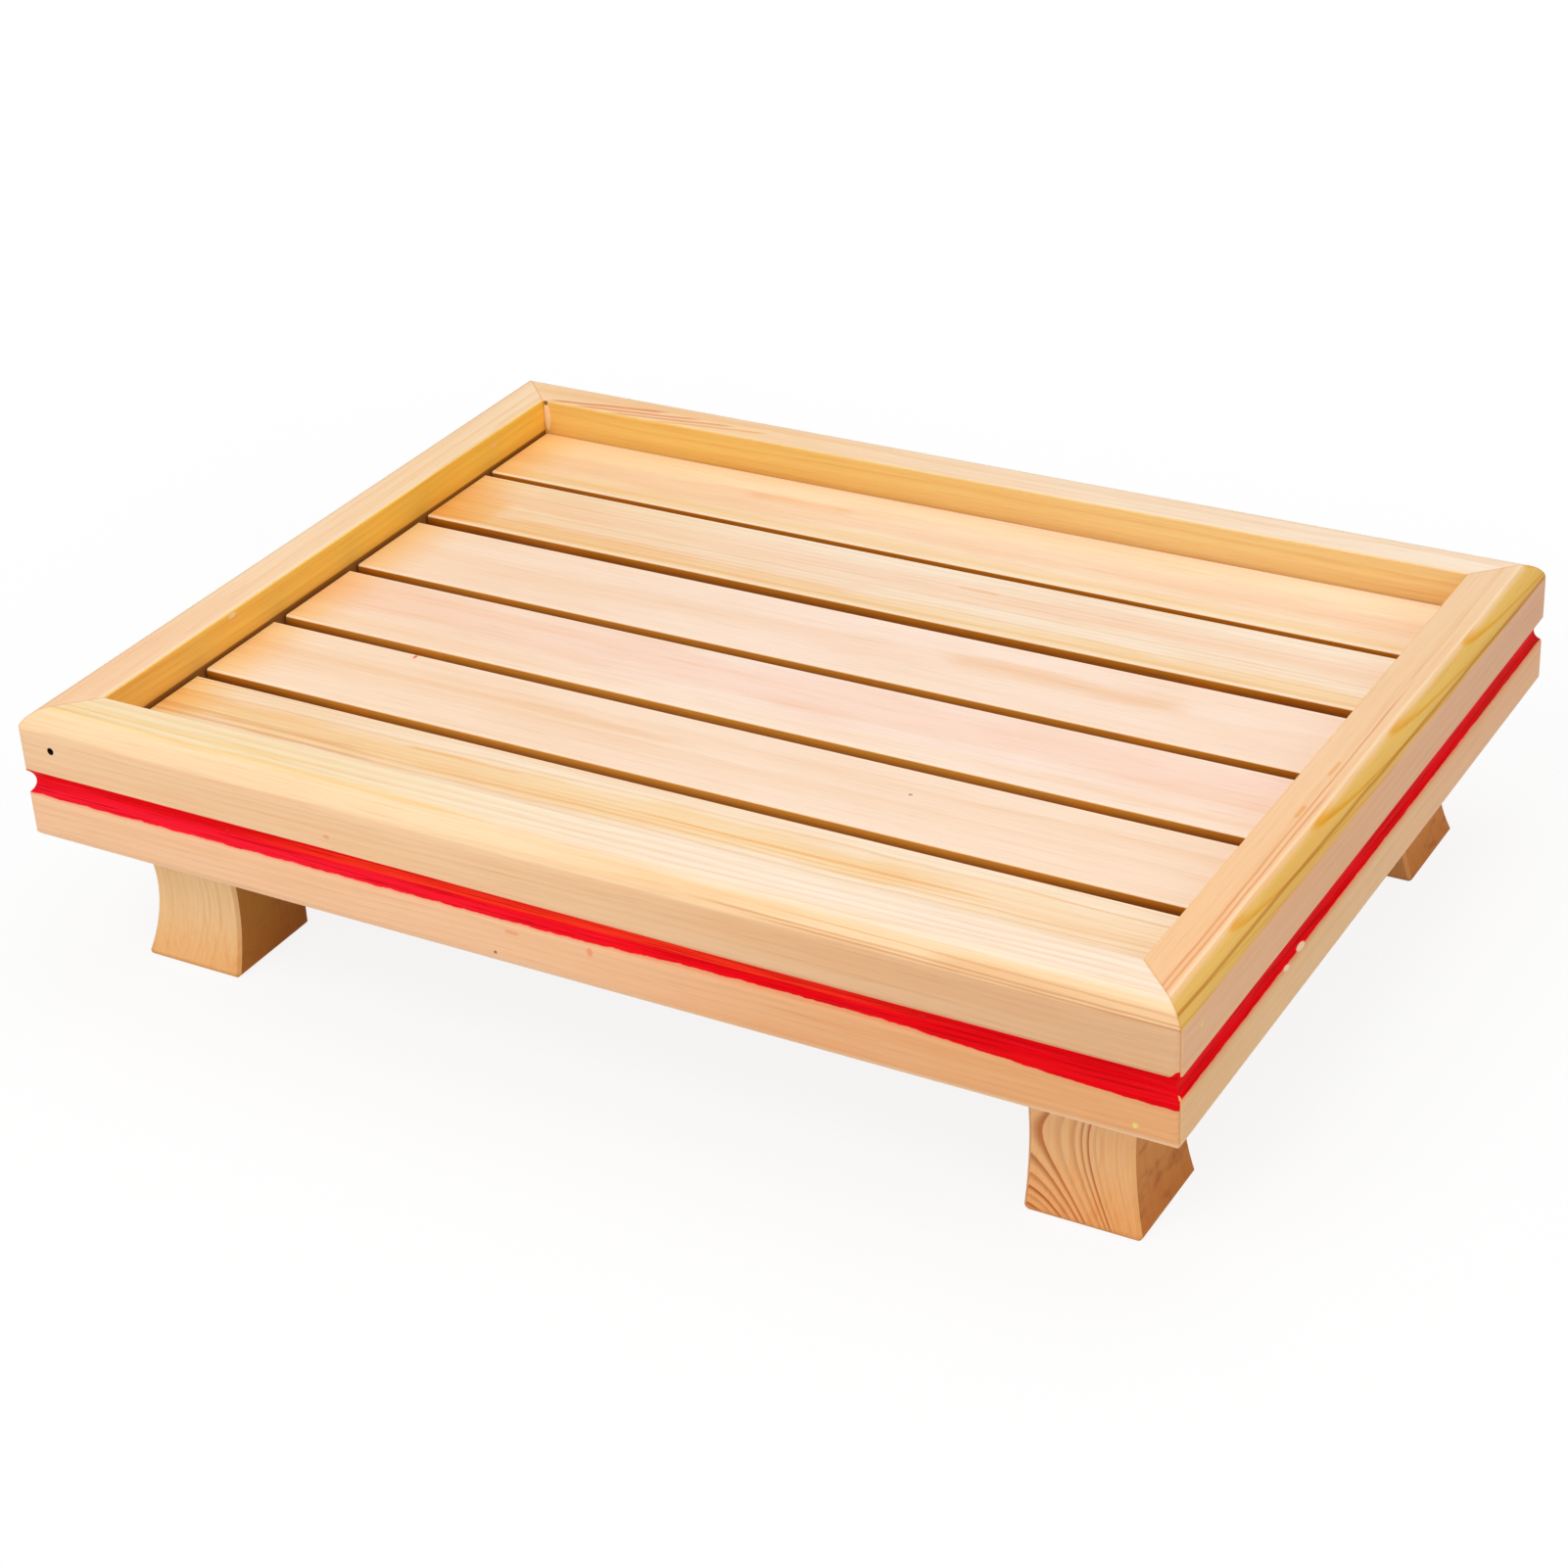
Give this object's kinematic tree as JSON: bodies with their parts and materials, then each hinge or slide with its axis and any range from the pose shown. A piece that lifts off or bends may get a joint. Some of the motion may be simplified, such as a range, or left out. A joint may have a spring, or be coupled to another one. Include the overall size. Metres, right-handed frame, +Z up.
{
  "type": "slatted serving board",
  "caption": "Low footed serving board: mitred moulded wooden rails with a painted groove frame a recessed floor of spaced slats, for serving sushi.",
  "frame": {"origin": "on the table, under the middle of the board", "axes": "+X along the long rails and slats, +Y from the front long rail to the back one, +Z up"},
  "size_m": [0.33, 0.244, 0.0795],
  "materials": {
    "rail_wood": "bare planed softwood, red paint in the groove",
    "slat_wood": "bare planed softwood",
    "batten_wood": "bare sawn softwood",
    "foot_wood": "bare shaped softwood with strong growth rings",
    "dowel_wood": "bare hardwood",
    "brad_steel": "plain wire",
    "putty": "dried wood putty"
  },
  "bodies": {
    "root": {"rail_front": "rail_wood", "rail_back": "rail_wood", "rail_left": "rail_wood", "rail_right": "rail_wood", "slat_1": "slat_wood", "slat_2": "slat_wood", "slat_3": "slat_wood", "slat_4": "slat_wood", "slat_5": "slat_wood", "slat_6": "slat_wood", "batten_left": "batten_wood", "batten_right": "batten_wood", "foot_front_left": "foot_wood", "foot_front_right": "foot_wood", "foot_back_left": "foot_wood", "foot_back_right": "foot_wood", "foot_dowels": "dowel_wood", "mitre_brads": "brad_steel", "batten_brads": "brad_steel", "slat_brads": "brad_steel", "brad_putty": "putty"}
  },
  "joints": []
}
